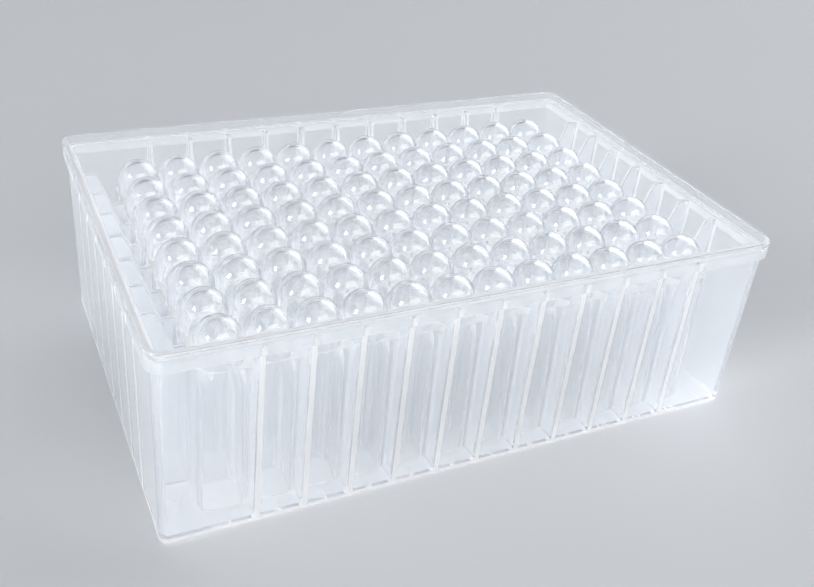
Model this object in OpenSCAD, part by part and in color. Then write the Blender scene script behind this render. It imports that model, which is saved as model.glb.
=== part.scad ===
// Deep-well plate, 8 rows by 12 columns of square wells with round bottoms.
// It is one moulding, shown upside down: the well mouths and the deck are at z = 0,
// and the round well bottoms and the base flange are at the top.
// Units are millimetres.

/* [Footprint] */
// Length over the base flange
flange_length = 127.76; // [126.5:0.01:140]
// Width over the base flange
flange_width = 85.48; // [84.5:0.01:96]
// Height from the well mouths to the rim of the base flange
plate_height = 41.9; // [41:0.1:55]
// Radius of the flange's upright corners
flange_corner_r = 3.2; // [2.6:0.1:8]

/* [Base flange] */
// Height of the base flange
flange_height = 3.8; // [2.5:0.1:6]
// How far the flange stands out from the skirt
flange_step = 0.9; // [0.3:0.05:1.2]
// Thickness of the lip round the recess in the rim
lip_wall = 1.25; // [0.8:0.05:1.8]
// Depth of the recess, from the rim down to the ledge
recess_depth = 1.9; // [0.8:0.1:2.2]

/* [Skirt and deck] */
// Thickness of the skirt
skirt_wall = 1.5; // [1.2:0.1:2.2]
// How far each skirt face leans in between the flange and the deck
skirt_draft = 0.8; // [0.2:0.1:1.2]
// Chamfer round the skirt's edge at the deck
deck_chamfer = 0.5; // [0.2:0.1:0.9]
// Thickness of the deck that joins the skirt to the wells
deck_wall = 1.2; // [0.8:0.1:2.5]
// How far the well mouths stand proud of the deck
mouth_rise = 0.5; // [0.2:0.1:1.5]

/* [Wells] */
// Wells in each row
columns = 12; // [2:1:12]
// Wells in each column
rows = 8; // [2:1:8]
// Distance between the centres of neighbouring wells
well_pitch = 9; // [8.8:0.01:9.1]
// Clear width of a well at its mouth
mouth_width = 8.2; // [7.8:0.05:8.3]
// Radius of a well's corners at its mouth
mouth_corner_r = 1.6; // [1:0.1:2.5]
// How far each face of a well leans in over its square length
well_draft = 0.35; // [0.1:0.05:0.5]
// Length of the square stretch of a well, which is also the height of the shared walls
square_length = 31.7; // [24:0.1:32]
// Height at which a well's corners start to round in towards its bottom
rounding_start = 27; // [20:0.1:28]
// Height of the centre of the round well bottoms
dome_centre_height = 34.9; // [33:0.1:35.5]
// Outer radius of the round well bottoms
dome_r = 4.4; // [4.2:0.02:4.45]
// Thickness of the round well bottoms
dome_wall = 0.9; // [0.6:0.05:1.2]
// Thickness of the wall round the outside of the well block, at the mouths
block_wall = 0.6; // [0.4:0.05:1.2]
// Radius of the upright corners of the well block, at the mouths
block_corner_r = 2.4; // [1.2:0.1:4]
// How far each side of the well block leans in over the height of the shared walls
block_draft = 0.2; // [0.1:0.05:0.25]

/* [Ribs] */
// Thickness of the ribs that brace the skirt against the well block
rib_wall = 1; // [0.6:0.05:1.6]
// Gap between the ledge and the top of the ribs
rib_drop = 0.5; // [0.2:0.1:3]
// Height of the lower step of the ribs, beside the well block
rib_step_height = 31.7; // [20:0.1:32]
// Length of the top edge of a rib, on the short sides
end_rib_top = 2.4; // [1.5:0.1:3]
// Length of the lower step of a rib, on the short sides
end_rib_step = 2; // [0.5:0.1:2.5]
// Length of the top edge of a rib, on the long sides
side_rib_top = 1.5; // [1.2:0.1:1.8]
// Length of the lower step of a rib, on the long sides
side_rib_step = 1.1; // [0.3:0.1:1.2]
// Radius of the rounded upper corner of a rib
rib_round = 0.8; // [0.3:0.1:1]

/* [Hidden] */
$fn = 64;
plastic = [0.86, 0.90, 0.96, 0.6];

flange_underside = plate_height - flange_height;
ledge_height = plate_height - recess_depth;
rib_top_height = ledge_height - rib_drop;

// Centres of the upright corners. Every rounded outline of the shell shares them.
corner_x = flange_length / 2 - flange_corner_r;
corner_y = flange_width / 2 - flange_corner_r;
skirt_top_r = flange_corner_r - flange_step;             // skirt's corner under the flange
skirt_foot_r = skirt_top_r - skirt_draft;                // skirt's corner at the deck

block_x = (columns - 1) * well_pitch / 2 + mouth_width / 2 + block_wall;
block_y = (rows - 1) * well_pitch / 2 + mouth_width / 2 + block_wall;
block_corner_x = block_x - block_corner_r;
block_corner_y = block_y - block_corner_r;

well_corner = mouth_width / 2 - mouth_corner_r;
well_r = dome_r - dome_wall;                             // inner radius of a round well bottom
well_half_diagonal = well_corner * sqrt(2) + mouth_corner_r + well_draft;   // clears the corners

// Distance by which the skirt's outer face stands outside its corner centres, at height z.
function skirt_reach(z) = skirt_top_r - skirt_draft * (flange_underside - z) / flange_underside;

// Distance by which a side of the well block has leant in, at height z.
function block_lean(z) = block_draft * z / square_length;

// Points of an arc about centre c, from angle a0 to angle a1.
function arc_points(c, r, a0, a1, steps = 6) =
    [for (i = [0:steps]) c + r * [cos(a0 + (a1 - a0) * i / steps), sin(a0 + (a1 - a0) * i / steps)]];

// Solid with a rounded rectangular outline whose corner radius runs from r_low to r_high.
// Its corner centres are at [cx, cy], so its faces lean by the difference of the radii.
module drafted_block(cx, cy, r_low, r_high, h) {
    for (sx = [-1, 1], sy = [-1, 1])
        translate([sx * cx, sy * cy, 0]) cylinder(r1 = r_low, r2 = r_high, h = h);
    rotate([90, 0, 0]) linear_extrude(2 * cy, center = true) drafted_section(cx, r_low, r_high, h);
    rotate([90, 0, 90]) linear_extrude(2 * cx, center = true) drafted_section(cy, r_low, r_high, h);
}

// Upright section of a drafted block, between two opposite faces.
module drafted_section(c, r_low, r_high, h) {
    polygon([[-c - r_low, 0], [c + r_low, 0], [c + r_high, h], [-c - r_high, h]]);
}

// Outer form of the skirt and its flange.
module shell_outside() {
    chamfer_top = mouth_rise + deck_chamfer;
    translate([0, 0, mouth_rise])
        drafted_block(corner_x, corner_y, skirt_reach(mouth_rise) - deck_chamfer,
                      skirt_reach(chamfer_top), deck_chamfer);
    translate([0, 0, chamfer_top])
        drafted_block(corner_x, corner_y, skirt_reach(chamfer_top), skirt_top_r,
                      flange_underside - chamfer_top);
    translate([0, 0, flange_underside])
        drafted_block(corner_x, corner_y, flange_corner_r, flange_corner_r, flange_height);
}

// Space inside the skirt: the hollow down to the deck, and the shallow recess in the rim.
module shell_inside() {
    floor_height = mouth_rise + deck_wall;
    hollow_top = ledge_height + recess_depth / 2;        // well inside the recess, which is wider
    translate([0, 0, floor_height])
        drafted_block(corner_x, corner_y, skirt_reach(floor_height) - skirt_wall,
                      skirt_reach(hollow_top) - skirt_wall, hollow_top - floor_height);
    translate([0, 0, ledge_height])
        drafted_block(corner_x, corner_y, flange_corner_r - lip_wall, flange_corner_r - lip_wall,
                      recess_depth + 1);
}

// Skirt, flange and deck as one open box.
module shell() {
    difference() {
        shell_outside();
        shell_inside();
    }
}

// Places its children at the centre of each well.
module at_wells() {
    for (column = [0:columns - 1], row = [0:rows - 1])
        translate([(column - (columns - 1) / 2) * well_pitch, (row - (rows - 1) / 2) * well_pitch, 0])
            children();
}

// Block of square tubes with shared walls, before the wells are cut.
module well_block() {
    drafted_block(block_corner_x, block_corner_y, block_corner_r, block_corner_r - block_draft,
                  square_length);
}

// Half section of a tube of radius r that ends in a half ball, from height low up.
module round_end_section(r, low) {
    translate([0, low]) square([r, dome_centre_height - low]);
    intersection() {
        translate([0, dome_centre_height]) circle(r = r);
        translate([0, dome_centre_height]) square(r);
    }
}

// Outside of one round well bottom: a short tube that ends in a half ball.
module dome() {
    rotate_extrude() round_end_section(dome_r, square_length - dome_wall);
}

// Space inside one well. Its square corners turn in along a cone and end in a half ball.
module well() {
    length = dome_centre_height + dome_r;
    intersection() {
        translate([0, 0, -mouth_rise])
            drafted_block(well_corner, well_corner,
                          mouth_corner_r + well_draft * mouth_rise / square_length,
                          mouth_corner_r - well_draft * length / square_length, length + mouth_rise);
        rotate_extrude() {
            polygon([[0, -mouth_rise], [well_half_diagonal, -mouth_rise],
                     [well_half_diagonal, rounding_start], [well_r, square_length], [0, square_length]]);
            round_end_section(well_r, square_length);
        }
    }
}

// Side view of a rib. It runs from the middle of the skirt's wall to the middle of the block's wall.
module rib_profile(skirt_corner, block_side, top_length, step_length) {
    skirt_in = skirt_corner + skirt_reach(rib_top_height) - skirt_wall;
    top_end = skirt_in - top_length;
    step_end = block_side - block_lean(rib_step_height) + step_length;
    lean = atan2(rib_top_height - rib_step_height, top_end - step_end);
    round_centre = [top_end + rib_round * tan(lean / 2), rib_top_height - rib_round];
    polygon(concat(
        [[skirt_corner + skirt_reach(mouth_rise) - skirt_wall / 2, mouth_rise + deck_wall / 2],
         [skirt_corner + skirt_reach(rib_top_height) - skirt_wall / 2, rib_top_height]],
        arc_points(round_centre, rib_round, 90, 90 + lean),
        [[step_end, rib_step_height],
         [block_side - block_lean(rib_step_height) - block_wall / 2, rib_step_height],
         [block_side - block_wall / 2, mouth_rise + deck_wall / 2]]));
}

// Ribs on both short sides, in line with the walls between the rows.
module end_ribs() {
    for (side = [0, 180], line = [1:rows - 1])
        rotate([0, 0, side]) translate([0, (line - rows / 2) * well_pitch, 0]) rotate([90, 0, 0])
            linear_extrude(rib_wall, center = true)
                rib_profile(corner_x, block_x, end_rib_top, end_rib_step);
}

// Ribs on both long sides, in line with the walls between the columns.
module side_ribs() {
    for (side = [90, 270], line = [1:columns - 1])
        rotate([0, 0, side]) translate([0, (line - columns / 2) * well_pitch, 0]) rotate([90, 0, 0])
            linear_extrude(rib_wall, center = true)
                rib_profile(corner_y, block_y, side_rib_top, side_rib_step);
}

// The whole moulding.
module well_plate() {
    color(plastic) difference() {
        union() {
            shell();
            well_block();
            at_wells() dome();
            end_ribs();
            side_ribs();
        }
        at_wells() well();
    }
}

well_plate();
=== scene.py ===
# %% [markdown]
# # A deep-well plate, standing mouth down
#
# A deep-well plate is one injection moulding of natural polypropylene: 96 square wells with round bottoms,
# hung in a skirt with a base flange and braced by ribs. This lesson rebuilds its visible surface with numpy,
# gives it a milky, glossy plastic, and lights it like a small studio shot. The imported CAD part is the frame:
# everything below is in its axes, and the finished surface stands for it.

# %% Load the frame
import bpy
import numpy as np
from mathutils import Matrix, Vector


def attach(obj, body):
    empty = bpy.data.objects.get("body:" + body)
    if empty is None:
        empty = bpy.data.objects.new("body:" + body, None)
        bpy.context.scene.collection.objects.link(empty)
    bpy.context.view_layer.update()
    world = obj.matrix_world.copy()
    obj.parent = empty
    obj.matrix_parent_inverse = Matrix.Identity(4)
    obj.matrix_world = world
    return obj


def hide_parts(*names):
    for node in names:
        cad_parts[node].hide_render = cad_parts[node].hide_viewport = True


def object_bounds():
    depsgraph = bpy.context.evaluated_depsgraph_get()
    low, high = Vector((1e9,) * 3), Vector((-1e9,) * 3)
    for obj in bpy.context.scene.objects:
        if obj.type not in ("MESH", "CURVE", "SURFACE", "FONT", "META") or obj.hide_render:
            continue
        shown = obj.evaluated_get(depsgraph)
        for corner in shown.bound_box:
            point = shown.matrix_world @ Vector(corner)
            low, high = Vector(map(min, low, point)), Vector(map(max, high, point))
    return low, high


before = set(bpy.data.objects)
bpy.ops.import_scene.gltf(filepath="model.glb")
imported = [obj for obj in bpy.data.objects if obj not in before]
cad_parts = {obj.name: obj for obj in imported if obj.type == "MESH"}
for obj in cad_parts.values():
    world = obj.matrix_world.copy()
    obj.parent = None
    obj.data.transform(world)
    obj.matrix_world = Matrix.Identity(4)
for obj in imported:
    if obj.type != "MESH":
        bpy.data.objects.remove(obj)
cad_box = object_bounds()
print("CAD box in mm:", [[round(1000 * v, 2) for v in corner] for corner in cad_box])

# %% [markdown]
# ## The sizes
#
# All sizes are millimetres, as on a mould drawing, and turn into metres only when a mesh is finished. The
# footprint and the height come from the frame's own box. The wells stand 9 mm apart, which is the standard
# for plates like this, so that every pipetting head fits every plate.

# %% Sizes of the moulding
MM = 0.001                                       # a millimetre in Blender's metres
low, high = (np.array(corner) * 1000 for corner in cad_box)
LENGTH, WIDTH, HEIGHT = high - low
PITCH, COLUMNS, ROWS = 9.0, 12, 8

FLANGE_CORNER = 3.2                              # radius of the flange's upright corners
FLANGE_UNDERSIDE = HEIGHT - 3.8                  # where the flange steps in to the skirt
LEDGE = HEIGHT - 1.9                             # bottom of the shallow recess in the rim
LIP, SKIRT_WALL, SKIRT_DRAFT, SKIRT_TOP = 1.25, 1.5, 0.8, 2.3
MOUTH_RISE, DECK_WALL, DECK_EDGE = 0.5, 1.2, 0.5
FLANGE_ROUND, RIM_OUTER_ROUND, RIM_INNER_ROUND, RECESS_FILLET = 0.25, 0.4, 0.3, 0.2

WELL_HALF, WELL_CORNER, WELL_DRAFT, WELL_FLARE = 4.1, 1.6, 0.35, 0.2
SQUARE_END, ROUNDING_START, DOME_CENTRE = 31.7, 27.0, 34.9
DOME_R, DOME_WALL = 4.4, 0.9
BLOCK_WALL, BLOCK_CORNER, BLOCK_DRAFT, BLOCK_ROUND = 0.6, 2.4, 0.2, 0.15
RIB_WALL, RIB_TOP, RIB_SHOULDER = 1.0, LEDGE - 0.5, 0.8

CORNERS = np.array([LENGTH / 2 - FLANGE_CORNER, WIDTH / 2 - FLANGE_CORNER])
BLOCK_HALF = np.array([COLUMNS - 1, ROWS - 1]) * PITCH / 2 + WELL_HALF + BLOCK_WALL
COLUMNS_X = (np.arange(COLUMNS) - (COLUMNS - 1) / 2) * PITCH
ROWS_Y = (np.arange(ROWS) - (ROWS - 1) / 2) * PITCH
WELLS = np.stack(np.meshgrid(COLUMNS_X, ROWS_Y), axis=-1).reshape(-1, 2)
RIBS_X = (np.arange(1, COLUMNS) - COLUMNS / 2) * PITCH      # the wall lines between the columns
RIBS_Y = (np.arange(1, ROWS) - ROWS / 2) * PITCH            # the wall lines between the rows
print(len(WELLS), "wells,", 2 * len(RIBS_X) + 2 * len(RIBS_Y), "ribs, plate",
      [round(float(v), 2) for v in (LENGTH, WIDTH, HEIGHT)])

# %% [markdown]
# ## From arrays to a closed mesh
#
# Every form here is a stack of outlines: loops of points, one above the other, joined by four-sided faces.
# A cap or a pole closes each end. Handing whole arrays to the mesh is quick, and the signed volume, which
# is positive only when the faces point outwards, tells at once whether the loops ran the right way round.

# %% Helpers for meshes
def signed_volume(points, faces):
    """Sum over the faces' triangles (a, b, c) of a . (b x c) / 6."""
    total = 0.0
    for block in faces:
        for k in range(1, block.shape[1] - 1):
            a, b, c = points[block[:, 0]], points[block[:, k]], points[block[:, k + 1]]
            total += np.einsum("ij,ij->", a, np.cross(b, c)) / 6
    return total


def make_mesh(name, points, faces):
    """A mesh from (n, 3) points and a list of index arrays, one array for each count of corners."""
    points = np.asarray(points, dtype=np.float64)
    if signed_volume(points, faces) < 0:
        faces = [block[:, ::-1] for block in faces]
    sizes = np.concatenate([np.full(len(block), block.shape[1]) for block in faces])
    corners = np.concatenate([block.ravel() for block in faces])
    mesh = bpy.data.meshes.new(name)
    mesh.vertices.add(len(points))
    mesh.loops.add(len(corners))
    mesh.polygons.add(len(sizes))
    mesh.vertices.foreach_set("co", points.astype(np.float32).ravel())
    mesh.loops.foreach_set("vertex_index", corners.astype(np.int32))
    starts = np.concatenate([[0], np.cumsum(sizes)[:-1]])
    mesh.polygons.foreach_set("loop_start", starts.astype(np.int32))
    mesh.update(calc_edges=True)
    mesh.validate()
    return mesh


def stack(loops, close_end="cap"):
    """Faces over a stack of loops (m, n, 3): four-sided between neighbours, a flat cap on the first loop,
    and a cap or, with a last point at index m * n, a fan to a pole at the other end."""
    m, n = loops.shape[:2]
    i, j = np.meshgrid(np.arange(m - 1), np.arange(n), indexing="ij")
    k = (j + 1) % n
    quads = np.stack([i * n + j, i * n + k, (i + 1) * n + k, (i + 1) * n + j], axis=-1).reshape(-1, 4)
    first = np.arange(n)
    last = first + (m - 1) * n
    if close_end == "cap":
        end = last[None]
    else:
        end = np.stack([last, np.roll(last, -1), np.full(n, m * n)], axis=-1)
    return [quads, first[None, ::-1], end]


def repeat(points, faces, shifts):
    """The same closed form at each of the (k, 3) shifts: points plus shift, indices plus k times n."""
    many = (points[None] + shifts[:, None]).reshape(-1, 3)
    step = np.arange(len(shifts)) * len(points)
    return many, [(block[None] + step[:, None, None]).reshape(-1, block.shape[1]) for block in faces]


def solid(name, points, faces):
    """An object with such a mesh, linked into the scene."""
    thing = bpy.data.objects.new(name, make_mesh(name, points, faces))
    bpy.context.scene.collection.objects.link(thing)
    return thing

# %% [markdown]
# ## Rounded outlines
#
# Skirt, flange, deck, block and wells all have rectangular outlines with round corners, and on a moulding
# with draft they shrink or grow with height while the corner centres stay put. So one outline is kept as
# anchors on the lines between the corner centres, and a direction for each anchor. The outline at any
# radius is then anchor + radius x direction, and a whole wall is that formula over a list of radii.

# %% Outline and wall
def outline(corner, stops_x, stops_y, steps):
    """Anchors and unit directions (n, 2), counter-clockwise. A corner's anchors all sit at its centre, with
    directions (cos a, sin a) over a quarter turn. A side has an anchor at each stop, which points straight
    out."""
    anchors, directions = [], []
    for turn, (sx, sy) in enumerate(((1, 1), (-1, 1), (-1, -1), (1, -1))):
        a = np.linspace(0, np.pi / 2, steps + 1) + turn * np.pi / 2
        anchors.append(np.repeat([[sx * corner[0], sy * corner[1]]], steps + 1, axis=0))
        directions.append(np.stack([np.cos(a), np.sin(a)], axis=-1))
        along_x = turn % 2 == 0
        stops = np.sort(stops_x if along_x else stops_y)[::-1 if turn < 2 else 1]
        fixed = np.full(len(stops), sy * corner[1] if along_x else sx * corner[0])
        anchors.append(np.stack([stops, fixed] if along_x else [fixed, stops], axis=-1))
        out = [0, sy] if along_x else [sx, 0]
        directions.append(np.repeat([out], len(stops), axis=0).astype(float))
    return np.concatenate(anchors), np.concatenate(directions)


def wall(anchors, directions, profile):
    """Loops (m, n, 3) for a profile of (radius, height) pairs: anchor + radius x direction, at its height."""
    radius, height = np.asarray(profile, dtype=float).T
    flat = anchors[None] + radius[:, None, None] * directions[None]
    return np.concatenate([flat, np.broadcast_to(height[:, None, None], flat.shape[:2] + (1,))], axis=-1)


def round_over(centre, radius, start, end, steps=3):
    """Points of an arc, centre + radius x (cos a, sin a), with a from start to end in degrees."""
    a = np.radians(np.linspace(start, end, steps + 1))
    return np.stack([centre[0] + radius * np.cos(a), centre[1] + radius * np.sin(a)], axis=-1)

# %% [markdown]
# ## The shell: deck, skirt, flange and rim
#
# The base of the plate is one thin shell. Its section is drawn once, as a polisher would feel it: a rounded
# foot where skirt and deck meet, the leaning skirt, the step out to the flange, the rim with its broken
# edges, the recess with its ledge, and the inside back down to the deck. No edge on a moulding is knife
# sharp, and these small rounds are what catch the light, so each one has a few points of its own. A fillet,
# the round in an inner corner, has one point in its middle, about 0.3 of its radius from both faces. The
# outline also has a stop on both sides of every rib, so that a face ends where a rib starts. The deck needs
# no drawing of its own: the first and last loops lie inside the block, and the faces between them and the
# skirt are its two sides.

# %% Build the shell
def skirt_reach(z):
    """How far the skirt's outer face stands outside its corner centres: it grows evenly with height."""
    return SKIRT_TOP - SKIRT_DRAFT * (FLANGE_UNDERSIDE - z) / FLANGE_UNDERSIDE


def shell_profile():
    """The shell's section as (radius, height) pairs, from under the deck round the rim and back down."""
    foot, floor, under = MOUTH_RISE, MOUTH_RISE + DECK_WALL, FLANGE_UNDERSIDE
    inner = lambda z: skirt_reach(z) - SKIRT_WALL
    lip_in = FLANGE_CORNER - LIP
    edge, outer, rim, fillet = FLANGE_ROUND, RIM_OUTER_ROUND, RIM_INNER_ROUND, RECESS_FILLET
    return np.concatenate([
        [[inner(floor), foot]],
        round_over((skirt_reach(foot + DECK_EDGE) - DECK_EDGE, foot + DECK_EDGE), DECK_EDGE, -90, 0, 5),
        [[skirt_reach(floor), floor], [skirt_reach(under - edge), under - edge],
         [SKIRT_TOP + 0.28 * edge, under - 0.28 * edge], [SKIRT_TOP + edge, under]],
        round_over((FLANGE_CORNER - edge, under + edge), edge, -90, 0),
        [[FLANGE_CORNER, LEDGE]],
        round_over((FLANGE_CORNER - outer, HEIGHT - outer), outer, 0, 90, 4),
        round_over((lip_in + rim, HEIGHT - rim), rim, 90, 180),
        [[lip_in, LEDGE + fillet], [lip_in - 0.3 * fillet, LEDGE + 0.3 * fillet], [lip_in - fillet, LEDGE]],
        round_over((inner(LEDGE) + edge, LEDGE - edge), edge, 90, 180),
        [[inner(under), under], [inner(floor), floor]],
    ])


def both_edges(lines, half):
    """Each line's two edges, line - half and line + half."""
    return np.concatenate([lines - half, lines + half])


rib_sides = both_edges(RIBS_X, RIB_WALL / 2), both_edges(RIBS_Y, RIB_WALL / 2)
frame_xy = outline(CORNERS, *rib_sides, 8)
core_xy = outline(BLOCK_HALF - BLOCK_CORNER, *rib_sides, 8)       # ends inside the block's wall
core_r = BLOCK_CORNER - BLOCK_WALL / 2
shell_loops = np.concatenate([
    wall(*core_xy, [[core_r, MOUTH_RISE]]),
    wall(*frame_xy, shell_profile()),
    wall(*core_xy, [[core_r, MOUTH_RISE + DECK_WALL]])])
shell = solid("shell", shell_loops.reshape(-1, 3), stack(shell_loops))
print("shell:", len(shell.data.polygons), "faces in", len(shell_loops), "loops")

# %% [markdown]
# ## The block of wells
#
# Between the domes the wells share their walls, so from the side they look like one block. It leans in a
# little towards the top for draft, and its foot, which is the rim of the mouths, is barely rounded.

# %% Build the block
block_xy = outline(BLOCK_HALF - BLOCK_CORNER, *rib_sides, 5)
block_loops = wall(*block_xy, np.concatenate([
    round_over((BLOCK_CORNER - BLOCK_ROUND, BLOCK_ROUND), BLOCK_ROUND, -90, 0, 2),
    [[BLOCK_CORNER - BLOCK_DRAFT, SQUARE_END]]]))
block = solid("block", block_loops.reshape(-1, 3), stack(block_loops))
print("block:", len(block.data.polygons), "faces")

# %% [markdown]
# ## Domes and wells
#
# The bottom of each well is a half ball on a short tube, turned like a potter's bowl: a section in radius
# and height, carried round the axis. The hollow inside is trickier. It starts as a square with round
# corners and must end as a ball, and on the real tool a cone cuts the corners away. The same happens here:
# each loop is the rounded square, and every point further from the axis than the cone's radius at that
# height is pulled in to it. The flat faces then end in the soft arches that such wells have.

# %% Build the domes
def turned(section, steps, pole):
    """A section of (radius, height) pairs carried round the z axis, closed by a pole at the given height."""
    a = np.arange(steps) * 2 * np.pi / steps
    radius, height = np.asarray(section).T
    ring = np.stack([np.cos(a), np.sin(a), np.zeros(steps)], axis=-1)
    loops = radius[:, None, None] * ring[None]
    loops[..., 2] = height[:, None]
    return loops, np.concatenate([loops.reshape(-1, 3), [[0, 0, pole]]])


places = np.concatenate([WELLS, np.zeros((len(WELLS), 1))], axis=1)
dome_section = np.concatenate([[[DOME_R, SQUARE_END - DOME_WALL]],
                               round_over((0, DOME_CENTRE), DOME_R, 0, 78, 6)])
dome_loops, dome_points = turned(dome_section, 32, DOME_CENTRE + DOME_R)
domes = solid("domes", *repeat(dome_points, stack(dome_loops, "pole"), places))
print("domes:", len(domes.data.polygons), "faces")

# %% Build the hollows of the wells
def well_hollow():
    """Loops of one well's hollow. Below the rounding, a rounded square that leans in by the draft, flared at
    the mouth; then each point at min(its own distance, cone radius) from the axis; then tube and half ball.
    Each side has four stops, and the levels come closer where the arch that ends its flat face turns."""
    corner = WELL_HALF - WELL_CORNER
    side = np.array([-1.5, -0.5, 0.5, 1.5]) * corner / 1.9
    anchors, directions = outline((corner, corner), side, side, 3)
    lean = lambda z: WELL_CORNER - WELL_DRAFT * np.maximum(z, 0) / SQUARE_END
    inner = DOME_R - DOME_WALL
    rim, flare = lean(0), WELL_FLARE
    mouth = [[rim + flare, -MOUTH_RISE], [rim + flare, 0], [rim + 0.3 * flare, 0.3 * flare],
             [rim, 1.1 * flare]]
    levels = np.array([ROUNDING_START, 28.2, 29.2, 30.0, 30.6, 31.1, SQUARE_END])
    square = wall(anchors, directions, np.concatenate([mouth, np.stack([lean(levels), levels], axis=-1)]))
    widest = np.hypot(corner, corner) + WELL_CORNER
    cone = widest + (inner - widest) * (square[..., 2] - ROUNDING_START) / (SQUARE_END - ROUNDING_START)
    reach = np.hypot(square[..., 0], square[..., 1])
    pull = np.minimum(1, np.where(square[..., 2] > ROUNDING_START, cone, np.inf) / reach)
    square[..., :2] *= pull[..., None]
    unit = square[-1, :, :2] / np.hypot(square[-1, :, 0], square[-1, :, 1])[:, None]
    ball = wall(np.zeros_like(unit), unit, round_over((0, DOME_CENTRE), inner, 0, 75, 5))
    return np.concatenate([square, ball])


hollow_loops = well_hollow()
hollow_pole = [[0, 0, DOME_CENTRE + DOME_R - DOME_WALL]]
hollow_points = np.concatenate([hollow_loops.reshape(-1, 3), hollow_pole])
hollows = solid("hollows", *repeat(hollow_points, stack(hollow_loops, "pole"), places))
print("hollows:", len(hollows.data.polygons), "faces,", hollow_loops.shape[1], "points in each loop")

# %% [markdown]
# ## The ribs
#
# Thin ribs run from the skirt to the block in line with the walls between the wells. They stiffen the skirt
# and carry the load when plates are stacked. From the side a rib has a short level top at the skirt, a round
# shoulder, a steep slope and a low step beside the block. That outline is carried across the rib's
# thickness, drawn in a little at both faces, so its edges are round as on the moulding.

# %% Build the ribs
def drawn_in(profile, amount):
    """A closed outline with each corner moved inwards: by amount x (n1 + n2) / (1 + n1 . n2), where n1 and n2
    are the inward normals of the two edges that meet there."""
    edge = np.roll(profile, -1, axis=0) - profile
    edge /= np.linalg.norm(edge, axis=1)[:, None]
    normal = np.stack([-edge[:, 1], edge[:, 0]], axis=-1)
    before = np.roll(normal, 1, axis=0)
    return profile + amount * (normal + before) / (1 + np.sum(normal * before, axis=1))[:, None]


def rib_outline(corner, block_side, top, step):
    """A rib from the side, as (distance from the plate's middle, height), counter-clockwise. Its top edge and
    its low step have the given lengths, and it ends in the middle of the skirt's and of the block's wall."""
    skirt_in = corner + skirt_reach(RIB_TOP) - SKIRT_WALL
    top_end = skirt_in - top
    block_top = block_side - BLOCK_DRAFT
    step_end = block_top + step
    lean = np.degrees(np.arctan2(RIB_TOP - SQUARE_END, top_end - step_end))
    centre = (top_end + RIB_SHOULDER * np.tan(np.radians(lean / 2)), RIB_TOP - RIB_SHOULDER)
    foot = MOUTH_RISE + DECK_WALL / 2
    return np.concatenate([
        [[corner + skirt_reach(MOUTH_RISE) - SKIRT_WALL / 2, foot],
         [corner + skirt_reach(RIB_TOP) - SKIRT_WALL / 2, RIB_TOP]],
        round_over(centre, RIB_SHOULDER, 90, 90 + lean, 4),
        [[step_end, SQUARE_END], [block_top - BLOCK_WALL / 2, SQUARE_END],
         [block_side - BLOCK_WALL / 2, foot]]])


def ribs(name, profile, lines, turns):
    """Every rib of one kind: the outline at six depths across the wall, shifted to each line, and turned
    about z by each of the turns, in degrees."""
    depth = np.array([-0.5, -0.44, -0.3, 0.3, 0.44, 0.5]) * RIB_WALL
    inset = np.array([0.2, 0.06, 0.0, 0.0, 0.06, 0.2]) * RIB_WALL
    flat = np.stack([drawn_in(profile, e) for e in inset])
    loops = np.stack([flat[..., 0], np.broadcast_to(depth[:, None], flat.shape[:2]), flat[..., 1]], axis=-1)
    shifts = np.stack([np.zeros(len(lines)), lines, np.zeros(len(lines))], axis=-1)
    points, faces = repeat(loops.reshape(-1, 3), stack(loops), shifts)
    spin = np.radians(turns)
    turn = np.array([[[np.cos(a), -np.sin(a), 0], [np.sin(a), np.cos(a), 0], [0, 0, 1]] for a in spin])
    many = np.einsum("tij,nj->tni", turn, points).reshape(-1, 3)
    return solid(name, many, repeat(points, faces, np.zeros((len(turns), 3)))[1])


end_profile = rib_outline(CORNERS[0], BLOCK_HALF[0], top=2.4, step=2.0)
side_profile = rib_outline(CORNERS[1], BLOCK_HALF[1], top=1.5, step=1.1)
end_ribs = ribs("end_ribs", end_profile, RIBS_Y, [0, 180])
side_ribs = ribs("side_ribs", side_profile, RIBS_X, [90, 270])
print("ribs:", len(end_ribs.data.polygons) + len(side_ribs.data.polygons), "faces")

# %% [markdown]
# ## One moulding
#
# The real plate is a single piece of plastic, so the parts are melted together and the hollows are taken
# out. The Boolean modifier's Manifold solver is made for closed meshes like these: it is fast, and its
# result is closed again. It works in millimetres here, far from the limits of single precision.

# %% Join the parts and cut the wells
def boolean(first, operation, second):
    """first with second added or taken away, as first's new mesh; second is deleted."""
    modifier = first.modifiers.new(operation, "BOOLEAN")
    modifier.operation, modifier.solver, modifier.object = operation, "MANIFOLD", second
    graph = bpy.context.evaluated_depsgraph_get()
    result = bpy.data.meshes.new_from_object(first.evaluated_get(graph))
    first.modifiers.clear()
    first.data = result
    bpy.data.objects.remove(second)


for part in (block, domes, end_ribs, side_ribs):
    boolean(shell, "UNION", part)
boolean(shell, "DIFFERENCE", hollows)
plate = shell
plate.name = plate.data.name = "plate_moulding"
plate.data.transform(Matrix.Scale(MM, 4))
plate.data.update()
plate.data.calc_loop_triangles()
print("moulding:", len(plate.data.polygons), "faces,", len(plate.data.loop_triangles), "triangles")

# %% [markdown]
# ## How thick is the plastic?
#
# Natural polypropylene is clouded by tiny crystals. A thin wall looks like frosted glass, while a rib seen
# on edge, or the top of a wall that goes down for 30 mm, looks white. So the finish needs to know how much
# plastic lies behind each face. A Raycast node measures just that: from each face it looks straight inwards
# and gives the distance to the other side of the wall, kept on the mesh as the attribute wall_mm. The sides
# of a rib count half as thick again, since light that enters at its edges also leaves through its sides.

# %% Measure the walls
def set_up(node, settings):
    """Sets a new node's properties by name."""
    for name, value in settings.items():
        setattr(node, name, value)
    return node


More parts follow.
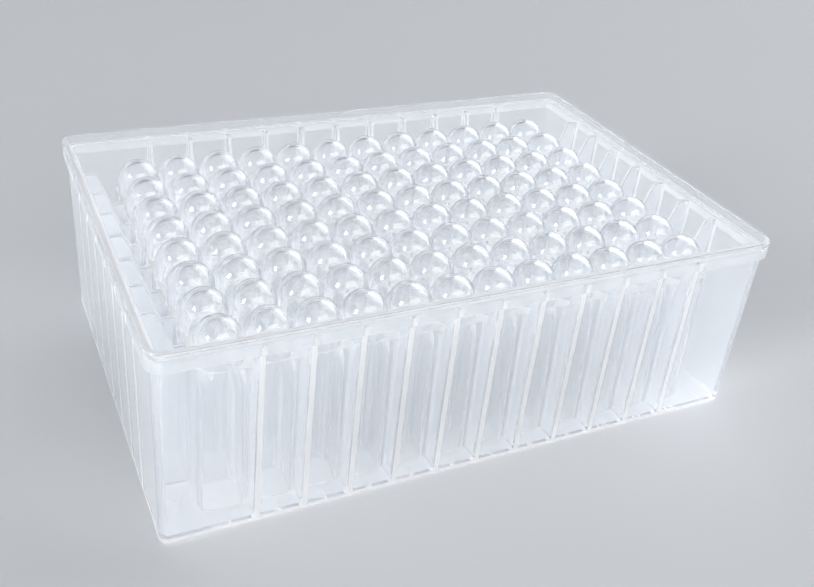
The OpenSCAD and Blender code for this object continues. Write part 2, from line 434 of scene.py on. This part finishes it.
def measured_walls(thing, longest=0.05, start_depth=2e-6):
    """Splits a thing into triangles, whose middles lie in their faces, and adds wall_mm: the length of a ray
    from each middle, against the normal, to the far side. The ray starts at start_depth, so that it doesn't
    hit its own face, and ends at longest; both are in metres."""
    group = bpy.data.node_groups.new("wall_thickness", "GeometryNodeTree")
    group.interface.new_socket("Geometry", in_out="INPUT", socket_type="NodeSocketGeometry")
    group.interface.new_socket("Geometry", in_out="OUTPUT", socket_type="NodeSocketGeometry")
    add = lambda kind, **settings: set_up(group.nodes.new(kind), settings)
    start, end = add("NodeGroupInput"), add("NodeGroupOutput")
    normal, place = add("GeometryNodeInputNormal"), add("GeometryNodeInputPosition")
    inward = add("ShaderNodeVectorMath", operation="SCALE")
    inward.inputs["Scale"].default_value = -1.0
    nudge = add("ShaderNodeVectorMath", operation="MULTIPLY_ADD")
    nudge.inputs[1].default_value = (start_depth,) * 3
    ray = add("GeometryNodeRaycast")
    ray.inputs["Ray Length"].default_value = longest
    scale = add("ShaderNodeMath", operation="MULTIPLY")
    scale.inputs[1].default_value = 1 / MM
    store = add("GeometryNodeStoreNamedAttribute", data_type="FLOAT", domain="FACE")
    store.inputs["Name"].default_value = "wall_mm"
    link = group.links.new
    link(normal.outputs[0], inward.inputs[0])
    link(inward.outputs[0], nudge.inputs[0])
    link(place.outputs[0], nudge.inputs[2])
    link(start.outputs[0], ray.inputs["Target Geometry"])
    link(nudge.outputs[0], ray.inputs["Source Position"])
    link(inward.outputs[0], ray.inputs["Ray Direction"])
    link(ray.outputs["Hit Distance"], scale.inputs[0])
    link(start.outputs[0], store.inputs["Geometry"])
    link(scale.outputs[0], store.inputs["Value"])
    link(store.outputs[0], end.inputs[0])
    thing.modifiers.new("triangles", "TRIANGULATE")
    modifier = thing.modifiers.new("walls", "NODES")
    modifier.node_group = group
    graph = bpy.context.evaluated_depsgraph_get()
    thing.data = bpy.data.meshes.new_from_object(thing.evaluated_get(graph))
    thing.modifiers.clear()
    bpy.data.node_groups.remove(group)
    walls = np.zeros(len(thing.data.polygons), dtype=np.float32)
    thing.data.attributes["wall_mm"].data.foreach_get("value", walls)
    return walls


RIB_GLOW = 1.5                                   # a rib's sides count this many times as thick
RIB_NEAR = 0.02                                  # a wall this near to a rib's, in mm, is a rib's
walls = measured_walls(plate)
middles = np.zeros(3 * len(walls), dtype=np.float32)
plate.data.polygons.foreach_get("center", middles)
beside_block = np.any(np.abs(middles.reshape(-1, 3)[:, :2]) > MM * BLOCK_HALF, axis=1)
rib_faces = beside_block & (np.abs(walls - RIB_WALL) < RIB_NEAR)
walls[rib_faces] *= RIB_GLOW
plate.data.attributes["wall_mm"].data.foreach_set("value", walls)
print(rib_faces.sum(), "faces on the sides of ribs")
print("walls in mm, at the 5th, 50th and 95th hundredth of the faces:",
      np.percentile(walls, [5, 50, 95]).round(2))

# %% [markdown]
# ## Smooth where the plastic is smooth
#
# Domes, hollows and rounded edges shade as curves, and an edge sharper than 35 degrees stays an edge. The
# Weighted Normal modifier then lets the large flat faces decide how they shade, so a skirt face doesn't
# look bulged because of the narrow round beside it.

# %% Shade the moulding
SHARP_FROM = 35                                  # degrees between two faces
plate.data.shade_smooth()
plate.data.set_sharp_from_angle(angle=np.radians(SHARP_FROM))
flatter = plate.modifiers.new("flat faces lead", "WEIGHTED_NORMAL")
flatter.keep_sharp, flatter.mode, flatter.weight = True, "FACE_AREA", 50
print("shading: smooth under", SHARP_FROM, "degrees, with", [m.name for m in plate.modifiers])

# %% [markdown]
# ## The row letters and column numbers
#
# Every plate of this kind carries letters for its rows and numbers for its columns, raised on the deck
# beside the mouths, and read from the mouth side. They are plain type. A text object is turned into a mesh
# first, and only then put in place, so that the marks' own coordinates are the plate's.

# %% Make the marks
MARK_FACE, MARK_ROOT = 0.25, MOUTH_RISE + 0.1    # heights of the marks' faces and of their roots in the deck
LETTER_HEIGHT, LETTERS_X = 3.0, -57.2
DIGIT_HEIGHT, DIGITS_Y = 2.0, -38.3


def mark(text, height, centre):
    """One raised mark as points and triangles in mm. Type lies in x and y and is as deep as it extrudes. A
    point (u, v, w) of it goes to (x + u, y - v), at the mark's face where w is positive and at its root where
    it isn't: so the mark faces down, and its top is towards row A."""
    curve = bpy.data.curves.new("mark_" + text, "FONT")
    curve.body, curve.size, curve.align_x, curve.align_y = text, 1.0, "CENTER", "CENTER"
    curve.extrude, curve.resolution_u = 0.05, 4
    thing = bpy.data.objects.new("mark_" + text, curve)
    bpy.context.scene.collection.objects.link(thing)
    graph = bpy.context.evaluated_depsgraph_get()
    mesh = bpy.data.meshes.new_from_object(thing.evaluated_get(graph))
    mesh.calc_loop_triangles()
    points = np.zeros(len(mesh.vertices) * 3)
    mesh.vertices.foreach_get("co", points)
    points = points.reshape(-1, 3)
    triangles = np.zeros(len(mesh.loop_triangles) * 3, dtype=int)
    mesh.loop_triangles.foreach_get("vertices", triangles)
    bpy.data.objects.remove(thing)
    bpy.data.curves.remove(curve)
    bpy.data.meshes.remove(mesh)
    middle = (points.min(axis=0) + points.max(axis=0)) / 2
    size = height / np.ptp(points[:, 1])
    placed = (points - middle) * [size, -size, 0] + [centre[0], centre[1], 0]
    placed[:, 2] = np.where(points[:, 2] > 0, MARK_FACE, MARK_ROOT)
    return placed, triangles.reshape(-1, 3)


marks = [mark(letter, LETTER_HEIGHT, (LETTERS_X, y)) for letter, y in zip("ABCDEFGH", ROWS_Y)]
marks += [mark(str(i + 1), DIGIT_HEIGHT, (x, DIGITS_Y)) for i, x in enumerate(COLUMNS_X)]
starts = np.cumsum([0] + [len(p) for p, _ in marks[:-1]])
mark_points = np.concatenate([p for p, _ in marks])
mark_faces = np.concatenate([t + s for (_, t), s in zip(marks, starts)])
merged, where = np.unique(mark_points.round(5), axis=0, return_inverse=True)
marks_object = solid("row_and_column_marks", merged * MM, [where.reshape(-1)[mark_faces]])
print("marks:", len(marks), "with", len(mark_faces), "triangles")

# %% [markdown]
# ## Milky polypropylene
#
# Two things happen in clouded plastic. What isn't scattered is bent and mirrored as in any clear plastic,
# which is a Principled shader with full transmission and the index 1.49: it gives the domes their dark rims
# and bright spots. The rest is scattered to both sides, which a Diffuse and a Translucent shader share. The
# scattered share grows with the plastic on the way: 1 - exp(-cloud x way), where the way is the wall, to the
# power 1.3, divided by the cosine of the ray's angle inside it. A ray that meets the wall at a low angle is
# bent steeper, so its way grows by about a third at most. Walls up to 1.6 mm scatter less than a quarter, so
# that the wells can be seen through the skirt. Fine crystals scatter blue light most, so a thin wall looks
# cool, and where the plastic is thick the blue has gone and its edges look warmer.
#
# Bent light finds no lamps, so the lamps' own rays take a short cut: for them the wall is a plain filter,
# which dims them more where it scatters more. Light Path tells which rays those are.

# %% Mix the finish
def graph_tools(material):
    """Four short ways to add to a material's nodes: any node, a plug into a socket, a Math node, and a Mix
    Shader that has the given share of its second shader."""
    nodes, links = material.node_tree.nodes, material.node_tree.links
    nodes.clear()

    def node(kind, settings=(), **inputs):
        new = set_up(nodes.new(kind), dict(settings))
        for name, value in inputs.items():
            plug(new.inputs[name.replace("_", " ")], value)
        return new

    def plug(socket, value):
        if isinstance(value, bpy.types.NodeSocket):
            links.new(value, socket)
        else:
            socket.default_value = value

    def math(operation, *values):
        new = set_up(nodes.new("ShaderNodeMath"), {"operation": operation})
        for socket, value in zip(new.inputs, values):
            plug(socket, value)
        return new.outputs[0]

    def blend(share, first, second):
        new = node("ShaderNodeMixShader", Fac=share)
        plug(new.inputs[1], first)
        plug(new.inputs[2], second)
        return new.outputs[0]

    return node, plug, math, blend


def milky_plastic(name, cloud, thin, thick, growth=1.3, thin_wall=1.6, thin_most=0.24, most=0.92,
                  deepest=4.5, lamp_share=0.4, index=1.49):
    """Clouded clear plastic: cloud is about the share that a wall of 1 mm scatters, and what a wall scatters
    grows with its thickness to the power growth. The colours thin and thick are those of a thin wall and of
    one as thick as deepest. The share is never over most, nor over thin_most in walls up to thin_wall, and
    for thicker ones that limit rises by half for each millimetre. Lamps see lamp_share of it. Inside the wall
    a ray's cosine is the root of 1 - (1 - slope squared) / index squared, where slope is its cosine outside.
    """
    material = bpy.data.materials.new(name)
    material.use_nodes = True
    node, plug, math, blend = graph_tools(material)
    place = node("ShaderNodeTexCoord").outputs["Object"]
    slope = math("SUBTRACT", 1.0, node("ShaderNodeLayerWeight", Blend=0.5).outputs["Facing"])
    wall_mm = node("ShaderNodeAttribute", {"attribute_name": "wall_mm"}).outputs["Fac"]
    depth = math("MINIMUM", wall_mm, deepest)
    mottle = node("ShaderNodeTexNoise", Scale=140.0, Detail=2.0, Vector=place).outputs["Fac"]
    strength = math("MULTIPLY_ADD", mottle, 0.2 * cloud, 0.9 * cloud)
    body = math("MULTIPLY", math("POWER", depth, growth), strength)
    bent = math("DIVIDE", math("SUBTRACT", 1.0, math("MULTIPLY", slope, slope)), index * index)
    way = math("DIVIDE", body, math("SQRT", math("SUBTRACT", 1.0, bent)))
    left = math("EXPONENT", math("MULTIPLY", way, -1.0))
    scattered = math("MULTIPLY", math("SUBTRACT", 1.0, left), most)
    beyond = math("MAXIMUM", math("SUBTRACT", depth, thin_wall), 0.0)
    share = math("MINIMUM", scattered, math("MULTIPLY_ADD", beyond, 0.5, thin_most))

    tint = node("ShaderNodeMixRGB", Fac=math("DIVIDE", depth, deepest), Color1=thin, Color2=thick)
    colour = tint.outputs[0]
    scatter = blend(0.5, node("ShaderNodeBsdfDiffuse", Color=colour).outputs[0],
                    node("ShaderNodeBsdfTranslucent", Color=colour).outputs[0])

    ripple = node("ShaderNodeTexNoise", Scale=90.0, Detail=1.0, Vector=place).outputs["Fac"]
    wavy = node("ShaderNodeBump", Strength=0.25, Distance=0.0002, Height=ripple).outputs[0]
    polish = node("ShaderNodeTexNoise", Scale=400.0, Detail=3.0, Vector=place).outputs["Fac"]
    clear = node("ShaderNodeBsdfPrincipled", Base_Color=(1, 1, 1, 1), IOR=index, Transmission_Weight=1.0,
                 Roughness=math("MULTIPLY_ADD", polish, 0.04, 0.02), Normal=wavy).outputs[0]

    dimmed = node("ShaderNodeBsdfTransparent", Color=(0.96, 0.96, 0.96, 1)).outputs[0]
    seen = blend(share, clear, scatter)
    lit = blend(math("MULTIPLY", share, lamp_share), dimmed, scatter)
    lamp_ray = node("ShaderNodeLightPath").outputs["Is Shadow Ray"]
    plug(node("ShaderNodeOutputMaterial").inputs["Surface"], blend(lamp_ray, seen, lit))
    return material


MARK_DEPTH = 4.0                                 # wall_mm of the marks, so that they look white
polypropylene = milky_plastic("milky_polypropylene", cloud=0.15, thin=(0.86, 0.92, 1.0, 1),
                              thick=(0.97, 0.965, 0.96, 1))
thickness = marks_object.data.attributes.new("wall_mm", "FLOAT", "FACE")
mark_walls = np.full(len(marks_object.data.polygons), MARK_DEPTH, dtype=np.float32)
thickness.data.foreach_set("value", mark_walls)
for piece in (plate, marks_object):
    piece.data.materials.clear()
    piece.data.materials.append(polypropylene)
    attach(piece, "root")
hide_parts("well_plate")
print("finish:", polypropylene.name, "with", len(polypropylene.node_tree.nodes), "nodes")

# %% [markdown]
# ## The studio
#
# The plate stands on a pale floor inside a low, pale backdrop. A softbox far off on the left gives each dome
# its bright spot, and two larger ones light the front and the far side. Above the backdrop the room is dark:
# that dark, bent through each dome's rim, draws the arcs that make the domes look round.

# %% Floor, lights and world
def look_along(way, roll=0.0):
    """The turn that makes a lamp or camera look along way: its axes are right, up and minus the way, with
    right level before the roll, an angle in radians that tips the picture."""
    forward = way / np.linalg.norm(way)
    right = np.cross(forward, [0, 0, 1])
    right /= np.linalg.norm(right)
    up = np.cross(right, forward)
    tipped = right * np.cos(roll) + up * np.sin(roll)
    return Matrix(np.stack([tipped, np.cross(tipped, forward), -forward], axis=-1).tolist())


def softbox(name, place, size, power, colour=(1, 1, 1)):
    """A rectangular area lamp at place, in metres, turned to face the middle of the plate."""
    lamp = bpy.data.lights.new(name, "AREA")
    lamp.shape, lamp.size, lamp.size_y, lamp.energy, lamp.color = "RECTANGLE", *size, power, colour
    thing = bpy.data.objects.new(name, lamp)
    thing.matrix_world = Matrix.Translation(place) @ look_along(PLATE_MIDDLE - place).to_4x4()
    bpy.context.scene.collection.objects.link(thing)


def staged(name, points, faces, colour, glow=0.0):
    """A plain thing that isn't part of the plate, in matt paper of one colour that may glow."""
    thing = bpy.data.objects.new(name, bpy.data.meshes.new(name))
    thing.data.from_pydata(points.tolist(), [], faces.tolist())
    bpy.context.scene.collection.objects.link(thing)
    paper = bpy.data.materials.new(name + "_paper")
    paper.use_nodes = True
    settings = {"Base Color": colour, "Roughness": 0.8, "Emission Color": colour, "Emission Strength": glow}
    for socket, value in settings.items():
        paper.node_tree.nodes["Principled BSDF"].inputs[socket].default_value = value
    thing.data.materials.append(paper)


PAPER = (0.60, 0.61, 0.63, 1)
FLOOR_HALF, FLOOR_Z = 12.0, -0.00005             # in metres; just below the mouths, so that nothing touches
BACKDROP_R, BACKDROP_Z, BACKDROP_SIDES, BACKDROP_GLOW = 4.5, (-0.1, 1.6), 64, 0.75
square = FLOOR_HALF * np.array([[-1, -1], [1, -1], [1, 1], [-1, 1]])
staged("floor", np.c_[square, np.full(4, FLOOR_Z)], np.arange(4)[None], PAPER)
turn = np.linspace(0, 2 * np.pi, BACKDROP_SIDES, endpoint=False)
ring = BACKDROP_R * np.stack([np.cos(turn), np.sin(turn)], axis=-1)
this = np.arange(BACKDROP_SIDES)
after = np.roll(this, -1)
staged("backdrop", np.concatenate([np.c_[ring, np.full(BACKDROP_SIDES, z)] for z in BACKDROP_Z]),
       np.stack([this, after, after + BACKDROP_SIDES, this + BACKDROP_SIDES], axis=-1), PAPER, BACKDROP_GLOW)

PLATE_MIDDLE = np.array([0, 0, 0.03])
softbox("key", (-3.6, -1.13, 1.66), (1.0, 1.4), 100.0)
softbox("front", (0.6, -2.8, 2.0), (3.4, 2.4), 74.0)
softbox("fill", (2.6, 1.4, 2.0), (3.6, 3.6), 75.0, (0.93, 0.96, 1.0))
world = bpy.data.worlds.new("dim_room")
world.use_nodes = True
background = world.node_tree.nodes["Background"]
background.inputs["Color"].default_value = (0.9, 0.95, 1.0, 1)
background.inputs["Strength"].default_value = 0.03
bpy.context.scene.world = world

# %% [markdown]
# ## The camera
#
# The camera stands close, in front of the left corner and above the domes, and is tipped by almost six
# degrees, so that the plate rises to the right. Its lens is shifted down by a tenth of the picture's width,
# instead of tilting the camera further, which keeps upright edges more nearly parallel.

# %% Place the camera
lens = bpy.data.cameras.new("camera")
lens.sensor_width, lens.lens = 36.0, 44.389
lens.shift_y = -0.1037
lens.clip_start = 0.01
camera = bpy.data.objects.new("camera", lens)
yaw, pitch, roll = np.radians([27.877, 27.536, 5.838])
gaze = np.array([np.sin(yaw) * np.cos(pitch), np.cos(yaw) * np.cos(pitch), -np.sin(pitch)])
eye = (-0.088436, -0.168388, 0.135794)
camera.matrix_world = Matrix.Translation(eye) @ look_along(gaze, roll).to_4x4()
bpy.context.scene.collection.objects.link(camera)
bpy.context.scene.camera = camera
bpy.context.scene.view_settings.view_transform = "Standard"
print("camera:", round(lens.lens, 3), "mm lens")
